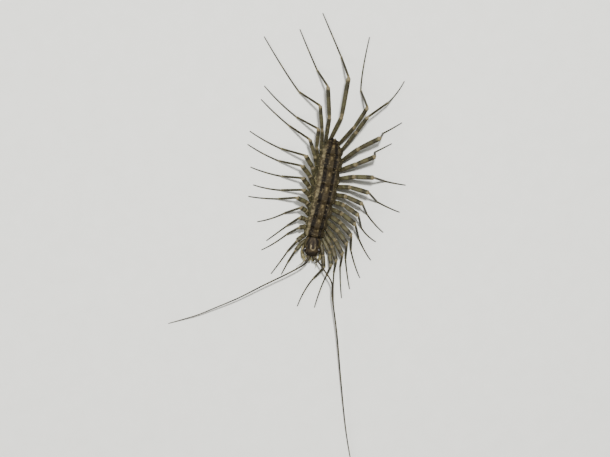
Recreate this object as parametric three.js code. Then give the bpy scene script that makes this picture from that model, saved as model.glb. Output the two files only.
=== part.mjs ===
// House centipede at life size, standing still on a flat floor.
// Millimetres, +Z up. +Y points from the head to the tail and +X to the left flank.
// The origin is on the floor, below the middle of the whole outline.
import * as THREE from "three";
import { mergeVertices } from "three/addons/utils/BufferGeometryUtils.js";

// Driving dimensions of the body.
const GAP = 0.3;
const PAIRS = 15;
const BODY_LENGTH = 26.1;
const HEAD_LENGTH = 4.1;
const HEAD_HALF_WIDTH = 1.62;
const HEAD_MIDDLE_HEIGHT = 3.05;
const HEAD_HALF_HEIGHT = 0.85;
const TRUNK_HALF_WIDTH = 1.42;
const TRUNK_MIDDLE_HEIGHT = 2.35;
const TRUNK_HALF_HEIGHT = 1.12;
const NECK_START = 2.9;
const TRUNK_END = 24.9;
const PLATE_THICKNESS = 0.55;
const PLATE_CREST_HEIGHT = 4.42;
const PLATE_EDGE_DROP = 0.75;
const PLATE_LIP_RISE = 0.2;
const PLATE_CORNER_ROUNDING = 0.16;
const PLATE_REAR_NOTCH = 0.12;
// The rear edge of each back plate, behind the front of the first one.
const PLATE_CUTS = [HEAD_LENGTH + 0.15, 5.95, 8.4, 11.7, 15.6, 18.9, 22.2, 24.75, 25.85];
// The trunk is parted here, below the third and fifth plates.
const TRUNK_SEAMS = [9.4, 17];
const TRUNK_WAIST = 0.05;
const TRUNK_WAIST_PITCH = 1.5;
// Half girths of the tail end, after their places behind the trunk.
const TAIL_HEIGHT = 3.0;
const TAIL_GIRTHS = [[0, 0.34], [0.3, 0.4], [0.7, 0.34], [0.95, 0.18]];
// The head's outline: places along it, then shares of its half width and height.
const HEAD_PROFILE = [
  [0.02, 0.3, 0.35], [0.25, 0.62, 0.66], [0.8, 0.8, 0.9], [1.5, 0.86, 1], [2.2, 0.94, 1],
  [2.9, 1, 0.98], [3.5, 0.97, 0.94], [HEAD_LENGTH, 0.84, 0.86],
];
const HEAD_BOW = 0.12;
const EYE_ALONG = 1.5;
const EYE_HALF_SIZE = [0.24, 0.5, 0.42];
const EYE_TURN = 12;
const EYE_RISE = 0.1;
// The claws run from below the neck round the head: along, beside, height.
const CLAW_ROUTE = [
  [NECK_START - GAP - 0.12, 0.8, 1.25], [2.0, 1.75, 1.1], [0.6, 2.05, 1.0],
  [-0.7, 1.6, 1.0], [-1.4, 0.8, 1.0],
];
const CLAW_GIRTHS = [0.3, 0.42, 0.44, 0.42, 0.36, 0.26, 0.12];

// Driving dimensions of the limbs.
const FIRST_ROOT = 3.4;
const ROOT_PITCH = 1.12;
const ROOT_PITCH_GROWTH = 0.0271;
const FIRST_ROOT_HEIGHT = 2.2;
const LAST_ROOT_HEIGHT = 1.6;
// The last pair trails behind, and its roots sit this much below the row of the others.
const LAST_PAIR_DROP = 0.35;
const ROOT_RISE = 1.8;
const LIMB_SIDES = 6;
const FOOT_HALF_THICKNESS = 0.26;
const FEELER_HALF_THICKNESS = 0.27;
const TIP_HALF_THICKNESS = 0.09;
const LIMB_FLATNESS = 0.8;
const LIMB_ROLL = 60;
const HIP_SHARE = 0.6;
const LEFT_KNEES = [2.4, 6.6];
const RIGHT_KNEES = [2.6, 5.8];
const KNEE_RISE = 0.7;
const HEEL_HEIGHT = 0.45;
// One heel of the last but one pair is lifted off the floor.
const RAISED_PAIR = 14;
const RAISED_HEEL_HEIGHT = 3.6;
// Places of the rings on the first segment, on the next two and on the foot.
const FIRST_RINGS = [0, 0.3, 0.75];
const NEXT_RINGS = [0.12, 0.35, 0.85];
const FOOT_RINGS = [0.12, 0.3, 0.5, 0.7, 0.88, 1];
const FOOT_TIP_START = 0.88;
const FEELER_TIP_START = 0.93;
const FEELER_ROOT_BESIDE = 0.62;
const PALP_ROOT = [0.35, 0.95];
const PALP_HEIGHTS = [2.2, 1.9, 1.5];

// The middle line of the body in plan, from the front of the head to the tail.
const middleLine = new THREE.CatmullRomCurve3([
  new THREE.Vector3(5.35, -1.55, 0),
  new THREE.Vector3(5.46, 0.22, 0),
  new THREE.Vector3(6.07, 4.18, 0),
  new THREE.Vector3(7.11, 7.92, 0),
  new THREE.Vector3(8.43, 13.64, 0),
  new THREE.Vector3(9.42, 19.58, 0),
  new THREE.Vector3(10.15, 24.4, 0),
]);
middleLine.arcLengthDivisions = 400;

// Pose of the legs, pair by pair from the front. Each row holds the compass
// headings of the prefemur, femur, tibia, near tarsus and far tarsus in degrees
// from +X towards +Y, then how far each of them reaches over the floor.
const LEFT_POSES = [
  [[-79, -87, -134, -132, -111], [3.0, 2.8, 3.2, 3.2, 4.2]],
  [[-63, -84, -115, -117, -106], [3.9, 2.9, 2.3, 3.2, 4.6]],
  [[-59, -74, -101, -96, -87], [3.8, 3.3, 2.5, 3.1, 4.6]],
  [[-52, -63, -100, -91, -84], [3.7, 3.6, 2.8, 3.5, 3.5]],
  [[-41, -55, -95, -86, -79], [3.3, 3.6, 3.2, 3.4, 3.5]],
  [[-34, -50, -91, -78, -64], [3.4, 3.6, 3.1, 3.9, 2.8]],
  [[-25, -39, -75, -67, -52], [3.1, 3.7, 3.2, 3.3, 2.3]],
  [[-17, -35, -76, -59, -31], [3.0, 3.9, 2.7, 2.3, 2.5]],
  [[-10, -25, -64, -57, -40], [3.1, 3.9, 2.2, 3.0, 2.8]],
  [[-2, -17, -45, -30, -20], [3.6, 4.2, 2.6, 2.9, 2.8]],
  [[7, -3, -15, -14, -8], [4.2, 4.2, 2.5, 2.3, 2.6]],
  [[20, 22, 86, 27, 27], [4.5, 4.4, 1.1, 2.0, 2.3]],
  [[36, 26, 60, 26, 32], [5.4, 5.3, 1.4, 2.2, 2.7]],
  [[51, 53, 36, 43, 62], [6.4, 4.0, 5.6, 3.0, 3.3]],
  [[47, 56, 109, 89, 77], [5.6, 5.1, 4.2, 3.8, 8.3]],
];
const RIGHT_POSES = [
  [[223, 231, 237, 241, 242], [1.7, 1.6, 3.0, 1.6, 1.7]],
  [[211, 221, 228, 235, 232], [1.2, 1.3, 3.1, 3.3, 3.0]],
  [[160, 189, 208, 218, 204], [0.9, 0.9, 3.1, 3.7, 3.1]],
  [[140, 165, 212, 216, 216], [1.1, 1.0, 3.3, 2.9, 2.9]],
  [[127, 149, 198, 206, 188], [1.5, 1.2, 3.8, 3.4, 3.1]],
  [[121, 154, 183, 180, 170], [2.0, 2.3, 4.1, 3.5, 3.3]],
  [[113, 136, 180, 177, 161], [2.1, 1.6, 4.9, 3.3, 3.2]],
  [[116, 127, 174, 170, 157], [2.7, 2.2, 4.7, 3.6, 3.7]],
  [[112, 128, 167, 159, 146], [3.5, 2.7, 5.2, 3.7, 4.3]],
  [[106, 120, 163, 157, 145], [3.7, 2.9, 5.6, 3.9, 4.2]],
  [[100, 106, 145, 141, 133], [4.4, 3.8, 5.5, 4.2, 4.5]],
  [[98, 84, 150, 142, 130], [4.6, 4.1, 5.5, 5.0, 5.1]],
  [[87, 95, 145, 127, 120], [6.7, 5.3, 5.6, 4.8, 9.8]],
  [[81, 93, 121, 114, 112], [7.8, 6.7, 4.5, 4.7, 5.2]],
  [[63, 80, 108, 113, 113], [6.8, 8.7, 5.1, 5.3, 5.2]],
];

// Poses of the palps and the feelers: headings, reaches, and the feelers' heights.
const LEFT_PALP = [[-80, -95, -105], [1.0, 1.0, 1.0]];
const RIGHT_PALP = [[-118, -125, -145], [1.0, 1.2, 1.6]];
const LEFT_FEELER = [
  [-43, -55, -59, -87, -83, -85, -84, -80],
  [1.1, 2.4, 3.1, 3.0, 8.2, 10.5, 12.0, 11.9],
  [3.3, 3.7, 3.6, 3.3, 2.6, 1.7, 0.8, 0.1],
];
const RIGHT_FEELER = [
  [-122, -138, -151, -154, -153, -157, -158, -163, -164],
  [1.3, 1.0, 3.0, 6.8, 5.7, 5.5, 4.4, 3.4, 3.4],
  [3.3, 3.5, 3.6, 3.2, 2.6, 1.9, 1.2, 0.6, 0.1],
];

const toRadians = THREE.MathUtils.degToRad;
const { lerp, clamp, smoothstep } = THREE.MathUtils;

// Where the middle of the outline lies when the middle line is laid as listed.
const OUTLINE_MIDDLE = new THREE.Vector3(-0.0256, -0.2783, 0);

const chitin = (color, roughness) => () => new THREE.MeshStandardMaterial({ color, roughness, metalness: 0 });
const plateBrown = chitin(0x5a4b3c, 0.35);
const headBrown = chitin(0x54463a, 0.35);
const trunkOlive = chitin(0x6b6349, 0.5);
const legOlive = chitin(0x5f6e4b, 0.4);
const feelerGreen = chitin(0x3f4f3c, 0.5);
const eyeBlack = chitin(0x15130f, 0.2);

const model = new THREE.Group();
model.position.copy(OUTLINE_MIDDLE).negate();

function addPiece(name, geometry, material) {
  const mesh = new THREE.Mesh(geometry, material());
  mesh.name = name;
  model.add(mesh);
  return mesh;
}

// Keeps only the places of the corners and welds them into one closed skin.
function closed(geometry) {
  geometry.deleteAttribute("normal");
  geometry.deleteAttribute("uv");
  return mergeVertices(geometry, 1e-4);
}

// A point beside the middle line: "along" counts from the front of the head,
// "beside" counts towards the left flank, and "height" from the floor.
function bodyPoint(along, beside, height) {
  const u = along / BODY_LENGTH;
  const point = middleLine.getPointAt(clamp(u, 0, 1));
  const ahead = middleLine.getTangentAt(clamp(u, 0, 1));
  const overshoot = along - clamp(u, 0, 1) * BODY_LENGTH;
  point.addScaledVector(ahead, overshoot);
  return new THREE.Vector3(point.x + ahead.y * beside, point.y - ahead.x * beside, height);
}

// Sweeps a flat-ended tube through stations. A station has its middle point,
// its half width across and its half height. A cylinder's rings are laid on
// the stations, turned with the path and rolled, and kept off the floor's underside.
function sweep(stations, sides, roll = 0) {
  const rows = stations.length - 1;
  const tube = new THREE.CylinderGeometry(1, 1, 1, sides, rows, false, Math.PI / sides);
  const path = stations.map((station) => station.at);
  const ahead = path.map((point, i) => {
    const back = path[Math.max(i - 1, 0)];
    const next = path[Math.min(i + 1, rows)];
    const leaving = next.clone().sub(point).normalize();
    const arriving = point.clone().sub(back).normalize();
    return leaving.add(arriving).normalize();
  });
  const across = new THREE.Vector3().crossVectors(ahead[0], new THREE.Vector3(0, 0, 1)).normalize();
  const frames = ahead.map((tangent) => {
    across.addScaledVector(tangent, -across.dot(tangent)).normalize();
    const upward = new THREE.Vector3().crossVectors(across, tangent);
    return { across: across.clone(), upward };
  });
  const corners = tube.attributes.position;
  const corner = new THREE.Vector3();
  for (let i = 0; i < corners.count; i += 1) {
    corner.fromBufferAttribute(corners, i);
    const row = Math.round((0.5 - corner.y) * rows);
    const station = stations[rows - row];
    const frame = frames[rows - row];
    const x = corner.x * Math.cos(roll) - corner.z * Math.sin(roll);
    const z = corner.x * Math.sin(roll) + corner.z * Math.cos(roll);
    const place = station.at.clone();
    place.addScaledVector(frame.across, x * station.halfWidth);
    place.addScaledVector(frame.upward, z * station.halfHeight);
    corners.setXYZ(i, place.x, place.y, Math.max(place.z, 0));
  }
  return closed(tube);
}

// Half width of the trunk: narrow under the head and towards the tail.
function trunkHalfWidth(along) {
  const front = lerp(0.75, 1, smoothstep(along, NECK_START, 7));
  const rear = lerp(1, 0.3, smoothstep(along, 20.5, TRUNK_END));
  return TRUNK_HALF_WIDTH * front * rear;
}

// The top of the trunk is low under the head and full height behind it.
function trunkTop(along) {
  const full = TRUNK_MIDDLE_HEIGHT + TRUNK_HALF_HEIGHT;
  const neck = HEAD_MIDDLE_HEIGHT - HEAD_HALF_HEIGHT - GAP - 0.05;
  return lerp(neck, full, smoothstep(along, HEAD_LENGTH + 0.25, HEAD_LENGTH + 0.7));
}

// One stretch of trunk, with a shallow waist between the leg-bearing rings.
function trunkStretch(from, to, ringsPerMillimetre) {
  const rows = Math.round((to - from) * ringsPerMillimetre);
  const stations = [];
  for (let i = 0; i <= rows; i += 1) {
    const along = lerp(from, to, i / rows);
    const beat = Math.cos((2 * Math.PI * (along - FIRST_ROOT)) / TRUNK_WAIST_PITCH);
    const waist = 1 - TRUNK_WAIST * 0.5 * (1 - beat);
    const bottom = TRUNK_MIDDLE_HEIGHT - TRUNK_HALF_HEIGHT;
    const top = trunkTop(along);
    stations.push({
      at: bodyPoint(along, 0, (top + bottom) / 2),
      halfWidth: trunkHalfWidth(along) * waist,
      halfHeight: ((top - bottom) / 2) * waist,
    });
  }
  return sweep(stations, 12);
}

// Half width of the row of back plates at a place along the body.
function plateHalfWidth(along) {
  const front = lerp(2.05, 2.68, smoothstep(along, 3.5, 15));
  const rear = lerp(1, 0.35, smoothstep(along, 21.5, 26.5));
  return front * rear;
}

// One back plate: a bent shield with rounded corners and a raised rear lip.
function backPlate(from, to) {
  const across = 8;
  const rows = 6;
  const slab = new THREE.BoxGeometry(2, 1, 2, across, 1, rows);
  const corners = slab.attributes.position;
  for (let i = 0; i < corners.count; i += 1) {
    const side = -corners.getX(i);
    const lift = corners.getY(i) * PLATE_THICKNESS;
    const reach = (corners.getZ(i) + 1) / 2;
    const along = lerp(from, to, reach);
    const round = 1 - PLATE_CORNER_ROUNDING * Math.pow(Math.abs(2 * reach - 1), 3);
    const notch = reach === 1 ? PLATE_REAR_NOTCH * (1 - Math.abs(side)) : 0;
    const crest = PLATE_CREST_HEIGHT - PLATE_THICKNESS / 2 + PLATE_LIP_RISE * Math.pow(reach, 3);
    const arch = PLATE_EDGE_DROP * Math.pow(Math.abs(side), 2.2);
    const place = bodyPoint(along - notch, side * plateHalfWidth(along) * round, crest - arch + lift);
    corners.setXYZ(i, place.x, place.y, place.z);
  }
  return closed(slab);
}

// The head: a low rounded shield, blunt in front and flat behind.
function headShield() {
  const stations = HEAD_PROFILE.map(([along, width, height]) => ({
    at: bodyPoint(along, 0, HEAD_MIDDLE_HEIGHT - HEAD_BOW * (1 - height)),
    halfWidth: HEAD_HALF_WIDTH * width,
    halfHeight: HEAD_HALF_HEIGHT * height,
  }));
  return sweep(stations, 14);
}

// A compound eye, a lens of small flat faces on the side of the head.
function compoundEye(side) {
  const lens = closed(new THREE.SphereGeometry(1, 10, 7));
  lens.scale(...EYE_HALF_SIZE);
  lens.rotateZ(side * toRadians(EYE_TURN));
  const headThere = HEAD_HALF_WIDTH * HEAD_PROFILE.find(([along]) => along === EYE_ALONG)[1];
  const beside = headThere + GAP + EYE_HALF_SIZE[0] - 0.04;
  const place = bodyPoint(EYE_ALONG, side * beside, HEAD_MIDDLE_HEIGHT + EYE_RISE);
  lens.translate(place.x, place.y, place.z);
  return lens;
}

// Walks from a root over headings and reaches, and sets each joint's height.
function jointsOf(root, headings, reaches, heights) {
  const joints = [root];
  headings.forEach((heading, i) => {
    const last = joints[i];
    const turn = toRadians(heading);
    const x = last.x + reaches[i] * Math.cos(turn);
    const y = last.y + reaches[i] * Math.sin(turn);
    joints.push(new THREE.Vector3(x, y, heights[i]));
  });
  return joints;
}

// Half the girth of a leg at the start, middle and end of each segment.
const PREFEMUR_GIRTH = [0.3, 0.44, 0.38];
const FEMUR_GIRTH = [0.38, 0.42, 0.32];
const TIBIA_GIRTH = [0.3, 0.29, 0.27];

// Height of the knee, low on the front legs and high on the rear ones.
function kneeHeight(pair, low, high) {
  return lerp(low, high, Math.pow((pair - 1) / (PAIRS - 1), KNEE_RISE));
}

// One walking leg: three firm segments in an arch, then a whip-like tarsus
// that lies on the floor and thins to its tip.
function walkingLeg(pair, side, pose, knee, heel) {
  const k = pair - 1;
  const along = FIRST_ROOT + ROOT_PITCH * k + ROOT_PITCH_GROWTH * k * k;
  const [headings, reaches] = pose;
  const flank = bodyPoint(along, side, 0).sub(bodyPoint(along, 0, 0));
  const slant = Math.abs(Math.sin(toRadians(headings[0]) - Math.atan2(flank.y, flank.x)));
  const beside = trunkHalfWidth(along) + GAP + PREFEMUR_GIRTH[0] * slant;
  const drop = pair === PAIRS ? LAST_PAIR_DROP : 0;
  const rootHeight = lerp(FIRST_ROOT_HEIGHT, LAST_ROOT_HEIGHT, k / (PAIRS - 1)) - drop;
  const root = bodyPoint(along, side * beside, rootHeight);
  const floor = FOOT_HALF_THICKNESS * Math.cos(Math.PI / LIMB_SIDES);
  const hip = lerp(rootHeight, knee, HIP_SHARE);
  const joints = jointsOf(root, headings, reaches, [hip, knee, heel, floor, floor]);
  const stations = [];
  const girths = [PREFEMUR_GIRTH, FEMUR_GIRTH, TIBIA_GIRTH];
  girths.forEach(([start, middle, end], segment) => {
    const [from, to] = [joints[segment], joints[segment + 1]];
    const places = segment === 0 ? FIRST_RINGS : NEXT_RINGS;
    const sizes = [start, middle, lerp(middle, end, 0.7)];
    places.forEach((place, i) => {
      const at = from.clone().lerp(to, place);
      if (segment === 0) at.z = lerp(from.z, to.z, Math.pow(place, ROOT_RISE));
      stations.push({ at, halfWidth: sizes[i] * LIMB_FLATNESS, halfHeight: sizes[i] });
    });
    stations.push({ at: to.clone(), halfWidth: end * LIMB_FLATNESS, halfHeight: end });
  });
  const [heelJoint, middle, tip] = joints.slice(3);
  const bend = new THREE.QuadraticBezierCurve3(heelJoint, middle, tip);
  FOOT_RINGS.forEach((place) => {
    const tipward = (place - FOOT_TIP_START) / (1 - FOOT_TIP_START);
    const thin = tipward < 0 ? 1 : lerp(0.8, 0.35, tipward);
    const half = FOOT_HALF_THICKNESS * thin;
    const at = bend.getPoint(place);
    at.z = lerp(heelJoint.z, floor * thin, smoothstep(place, 0, 0.3));
    stations.push({ at, halfWidth: half, halfHeight: half });
  });
  return sweep(stations, LIMB_SIDES, toRadians(LIMB_ROLL) * side);
}

// A feeler follows headings and reaches, high at first, and ends on the floor.
function feeler(root, headings, reaches, heights, rows) {
  const joints = jointsOf(root, headings, reaches, heights);
  const curve = new THREE.CatmullRomCurve3(joints);
  const stations = [];
  for (let i = 0; i <= rows; i += 1) {
    const place = i / rows;
    const tipward = clamp((place - FEELER_TIP_START) / (1 - FEELER_TIP_START), 0, 1);
    const half = lerp(FEELER_HALF_THICKNESS, TIP_HALF_THICKNESS, tipward);
    const at = curve.getPointAt(place);
    at.z = Math.max(at.z, half * Math.cos(Math.PI / LIMB_SIDES));
    stations.push({ at, halfWidth: half, halfHeight: half });
  }
  return sweep(stations, LIMB_SIDES);
}

// A poison claw: a stout curved limb beside and below the head.
function poisonClaw(side) {
  const points = CLAW_ROUTE.map(([along, beside, height]) => bodyPoint(along, side * beside, height));
  const route = new THREE.CatmullRomCurve3(points);
  const stations = CLAW_GIRTHS.map((half, i) => ({
    at: route.getPointAt(i / (CLAW_GIRTHS.length - 1)),
    halfWidth: half,
    halfHeight: half,
  }));
  return sweep(stations, 8);
}

// A palp of the mouth, a short thin limb that points forward.
function palp(side, headings, reaches) {
  const [along, beside] = PALP_ROOT;
  const root = bodyPoint(along, side * beside, HEAD_MIDDLE_HEIGHT - HEAD_HALF_HEIGHT - GAP - 0.05);
  return feeler(root, headings, reaches, PALP_HEIGHTS, 6);
}

for (let i = 0; i < PLATE_CUTS.length - 1; i += 1) {
  addPiece(`tergite_${i + 1}`, backPlate(PLATE_CUTS[i] + GAP / 2, PLATE_CUTS[i + 1] - GAP / 2), plateBrown);
}

const [frontSeam, rearSeam] = TRUNK_SEAMS;
addPiece("trunk_front", trunkStretch(NECK_START, frontSeam - GAP / 2, 2), trunkOlive);
addPiece("trunk_middle", trunkStretch(frontSeam + GAP / 2, rearSeam - GAP / 2, 1.5), trunkOlive);
addPiece("trunk_rear", trunkStretch(rearSeam + GAP / 2, TRUNK_END, 1.5), trunkOlive);

const tailStations = TAIL_GIRTHS.map(([along, half]) => ({
  at: bodyPoint(TRUNK_END + GAP + along, 0, TAIL_HEIGHT),
  halfWidth: half,
  halfHeight: half,
}));
addPiece("tail_end", sweep(tailStations, 10), trunkOlive);

addPiece("head", headShield(), headBrown);
addPiece("eye_left", compoundEye(1), eyeBlack);
addPiece("eye_right", compoundEye(-1), eyeBlack);
addPiece("forcipule_left", poisonClaw(1), legOlive);
addPiece("forcipule_right", poisonClaw(-1), legOlive);
addPiece("palp_left", palp(1, ...LEFT_PALP), legOlive);
addPiece("palp_right", palp(-1, ...RIGHT_PALP), legOlive);

const feelerRoot = (side) => bodyPoint(-GAP - 0.05, side * FEELER_ROOT_BESIDE, HEAD_MIDDLE_HEIGHT - 0.05);
addPiece("antenna_left", feeler(feelerRoot(1), ...LEFT_FEELER, 44), feelerGreen);
addPiece("antenna_right", feeler(feelerRoot(-1), ...RIGHT_FEELER, 34), feelerGreen);

for (let pair = 1; pair <= PAIRS; pair += 1) {
  const number = String(pair).padStart(2, "0");
  const leftHeel = pair === RAISED_PAIR ? RAISED_HEEL_HEIGHT : HEEL_HEIGHT;
  const left = walkingLeg(pair, 1, LEFT_POSES[pair - 1], kneeHeight(pair, ...LEFT_KNEES), leftHeel);
  const right = walkingLeg(pair, -1, RIGHT_POSES[pair - 1], kneeHeight(pair, ...RIGHT_KNEES), HEEL_HEIGHT);
  addPiece(`leg_left_${number}`, left, legOlive);
  addPiece(`leg_right_${number}`, right, legOlive);
}

export default model;
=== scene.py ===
# %% [markdown]
# # A house centipede at life size
# The animal stands still on a pale floor and the camera looks straight down on it.
# Its long legs and feelers matter most, because they make its outline. Each piece
# below is pulled from a ring or bent from a grid, so its form comes from a few sizes.

# %% Load the frame
import math
import random
import bmesh
import bpy
from mathutils import Matrix, Vector, noise


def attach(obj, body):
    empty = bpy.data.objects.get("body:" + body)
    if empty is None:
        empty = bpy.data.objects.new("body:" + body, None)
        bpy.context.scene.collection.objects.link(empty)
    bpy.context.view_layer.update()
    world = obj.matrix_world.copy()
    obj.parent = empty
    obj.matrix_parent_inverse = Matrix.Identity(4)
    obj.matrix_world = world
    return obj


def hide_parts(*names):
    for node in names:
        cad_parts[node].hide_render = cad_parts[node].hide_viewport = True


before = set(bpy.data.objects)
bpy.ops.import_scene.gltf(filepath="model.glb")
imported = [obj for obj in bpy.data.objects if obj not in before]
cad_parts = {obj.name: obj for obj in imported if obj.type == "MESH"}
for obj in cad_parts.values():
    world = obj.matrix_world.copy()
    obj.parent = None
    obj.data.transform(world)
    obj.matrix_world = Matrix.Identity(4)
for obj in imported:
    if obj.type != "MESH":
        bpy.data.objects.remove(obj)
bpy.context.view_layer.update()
print("solids:", len(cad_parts), "nodes")

# %% [markdown]
# ## Sizes
# The animal is so small that millimetres read best, so every length below is in them,
# and each mesh is scaled to metres when it is finished. Places along the body count from
# the front of the head, and places beside it count towards the animal's left flank.

# %% Sizes of the body
MM = 0.001
PAIRS = 15
BODY_LENGTH = 26.1
HEAD_LENGTH = 4.1
HEAD_HALF_WIDTH = 1.62
HEAD_MIDDLE_HEIGHT = 3.05
HEAD_HALF_HEIGHT = 0.85
TRUNK_HALF_WIDTH = 1.42
TRUNK_MIDDLE_HEIGHT = 2.35
TRUNK_HALF_HEIGHT = 1.12
NECK_START = 2.9
TRUNK_END = 24.9
TAIL_END = 26.1
PLATE_CREST_HEIGHT = 4.42
PLATE_EDGE_DROP = 0.75
PLATE_LIP_RISE = 0.2
PLATE_CUTS = [4.25, 5.95, 8.4, 11.7, 15.6, 18.9, 22.2, 24.75, 25.85]
OUTLINE_MIDDLE = Vector((-0.0256, -0.2783, 0))
MIDDLE_LINE = [
    (5.35, -1.55), (5.46, 0.22), (6.07, 4.18), (7.11, 7.92),
    (8.43, 13.64), (9.42, 19.58), (10.15, 24.4),
]
SIDES = ((1, "left"), (-1, "right"))

# %% Sizes and pose of the legs
FIRST_ROOT = 3.4
ROOT_PITCH = 1.12
ROOT_PITCH_GROWTH = 0.0271
FIRST_ROOT_HEIGHT = 2.2
LAST_ROOT_HEIGHT = 1.6
LAST_PAIR_DROP = 0.35
ROOT_RISE = 1.8
ROOT_GAP = 0.3
ROOT_GIRTH = 0.3
HIP_SHARE = 0.6
KNEE_RISE = 0.7
LEFT_KNEES = (2.4, 6.42)
RIGHT_KNEES = (2.6, 5.8)
HEEL_HEIGHT = 0.45
RAISED_PAIR, RAISED_HEEL = 14, 3.6
# Headings of the three firm segments and of the foot's near and far half, in degrees,
# then how far each reaches, seen from above.
LEFT_POSES = [
    [[-79, -87, -134, -132, -111], [3.0, 2.8, 3.2, 3.2, 4.2]],
    [[-63, -84, -115, -117, -106], [3.9, 2.9, 2.3, 3.2, 4.6]],
    [[-59, -74, -101, -96, -87], [3.8, 3.3, 2.5, 3.1, 4.6]],
    [[-52, -63, -100, -91, -84], [3.7, 3.6, 2.8, 3.5, 3.5]],
    [[-41, -55, -95, -86, -79], [3.3, 3.6, 3.2, 3.4, 3.5]],
    [[-34, -50, -91, -78, -64], [3.4, 3.6, 3.1, 3.9, 2.8]],
    [[-25, -39, -75, -67, -52], [3.1, 3.7, 3.2, 3.3, 2.3]],
    [[-17, -35, -76, -59, -31], [3.0, 3.9, 2.7, 2.3, 2.5]],
    [[-10, -25, -64, -57, -40], [3.1, 3.9, 2.2, 3.0, 2.8]],
    [[-2, -17, -45, -30, -20], [3.6, 4.2, 2.6, 2.9, 2.8]],
    [[7, -3, -15, -14, -8], [4.2, 4.2, 2.5, 2.3, 2.6]],
    [[20, 22, 86, 27, 27], [4.5, 4.4, 1.1, 2.0, 2.3]],
    [[36, 26, 60, 26, 32], [5.4, 5.3, 1.4, 2.2, 2.7]],
    [[51, 53, 36, 43, 62], [6.4, 4.0, 5.6, 3.0, 3.3]],
    [[47, 56, 109, 89, 77], [5.6, 5.1, 4.2, 3.8, 8.3]],
]
RIGHT_POSES = [
    [[223, 231, 237, 241, 242], [1.7, 1.6, 3.0, 1.6, 1.7]],
    [[211, 221, 228, 235, 232], [1.2, 1.3, 3.1, 3.3, 3.0]],
    [[160, 189, 208, 218, 204], [0.9, 0.9, 3.1, 3.7, 3.1]],
    [[140, 165, 212, 216, 216], [1.1, 1.0, 3.3, 2.9, 2.9]],
    [[127, 149, 198, 206, 188], [1.5, 1.2, 3.8, 3.4, 3.1]],
    [[121, 154, 183, 180, 170], [2.0, 2.3, 4.1, 3.5, 3.3]],
    [[113, 136, 180, 177, 161], [2.1, 1.6, 4.9, 3.3, 3.2]],
    [[116, 127, 174, 170, 157], [2.7, 2.2, 4.7, 3.6, 3.7]],
    [[112, 128, 167, 159, 146], [3.5, 2.7, 5.2, 3.7, 4.3]],
    [[106, 120, 163, 157, 145], [3.7, 2.9, 5.6, 3.9, 4.2]],
    [[100, 106, 145, 141, 133], [4.4, 3.8, 5.5, 4.2, 4.5]],
    [[98, 84, 150, 142, 130], [4.6, 4.1, 5.5, 5.0, 5.1]],
    [[87, 95, 145, 127, 120], [6.7, 5.3, 5.6, 4.8, 9.8]],
    [[81, 93, 121, 114, 112], [7.8, 6.7, 4.5, 4.7, 5.2]],
    [[63, 80, 108, 113, 113], [6.8, 8.7, 5.1, 5.3, 5.2]],
]
print("legs posed:", len(LEFT_POSES) + len(RIGHT_POSES))

# %% [markdown]
# ## Smooth lines
# The body, the feelers and the claws follow lines through a few points. A centripetal
# spline is used, because it never overshoots where the points are unevenly spaced, and
# it is walked by its length, so that rings along it are evenly spaced.


# %% Helpers for places along a line
def lerp(a, b, t):
    return a + (b - a) * t


def smoothstep(x, low, high):
    t = min(max((x - low) / (high - low), 0), 1)
    return t * t * (3 - 2 * t)


class SmoothLine:
    """A centripetal spline through points, walked by its length in millimetres."""

    def __init__(self, points, steps=40):
        points = [Vector((*p, 0)) if len(p) == 2 else Vector(p) for p in points]
        ends = [2 * points[0] - points[1], 2 * points[-1] - points[-2]]
        points = [ends[0], *points, ends[1]]
        self.samples = []
        for span in zip(points, points[1:], points[2:], points[3:]):
            self.samples += [self._on_span(span, i / steps) for i in range(steps)]
        self.samples.append(points[-2])
        self.marks = [0.0]
        for a, b in zip(self.samples, self.samples[1:]):
            self.marks.append(self.marks[-1] + (b - a).length)
        self.length = self.marks[-1]

    @staticmethod
    def _on_span(span, t):
        knots = [0.0]
        for a, b in zip(span, span[1:]):
            knots.append(knots[-1] + math.sqrt((b - a).length))
        u = lerp(knots[1], knots[2], t)
        row = list(span)
        for level in (1, 2, 3):
            row = [
                a.lerp(b, (u - knots[i]) / (knots[j] - knots[i]))
                for a, b, i, j in SmoothLine._pairs(row, knots, level)
            ]
        return row[0]

    @staticmethod
    def _pairs(row, knots, level):
        firsts = {1: [0, 1, 2], 2: [0, 1], 3: [1]}[level]
        lasts = {1: [1, 2, 3], 2: [2, 3], 3: [2]}[level]
        return zip(row, row[1:], firsts, lasts)

    def at(self, distance):
        """The point at this distance, and the direction there."""
        distance = min(max(distance, 0), self.length)
        i = max(j for j, mark in enumerate(self.marks[:-1]) if mark <= distance)
        a, b = self.samples[i], self.samples[i + 1]
        ahead = (b - a).normalized()
        return a + ahead * (distance - self.marks[i]), ahead


middle_line = SmoothLine(MIDDLE_LINE)
print("middle line:", round(middle_line.length, 2), "mm")


# %% Places on the body
def body_point(along, beside, height):
    """A place counted along the body, beside it, and up from the floor."""
    share = along / BODY_LENGTH * middle_line.length
    point, ahead = middle_line.at(share)
    point = point + ahead * (share - min(max(share, 0), middle_line.length))
    place = Vector((point.x + ahead.y * beside, point.y - ahead.x * beside, height))
    return place - OUTLINE_MIDDLE


print("front of the head:", body_point(0, 0, HEAD_MIDDLE_HEIGHT))

# %% [markdown]
# ## Rings pulled along a path
# Legs, feelers, trunk and head are all round forms that swell and thin along a path.
# A ring is drawn at the first station and extruded from station to station, each time
# moved by one matrix, as a modeller would pull and scale it by hand. Every corner keeps
# three marks, how far along and how far round it is and how dark its limb is, and the
# colours read these marks.


# %% The loft helper
def facing(ahead, across=None):
    """Directions across a path and up from it, turned as little as possible."""
    if across is None:
        across = ahead.cross(Vector((0, 0, 1)))
    across = (across - ahead * across.dot(ahead)).normalized()
    return across, across.cross(ahead)


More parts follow.
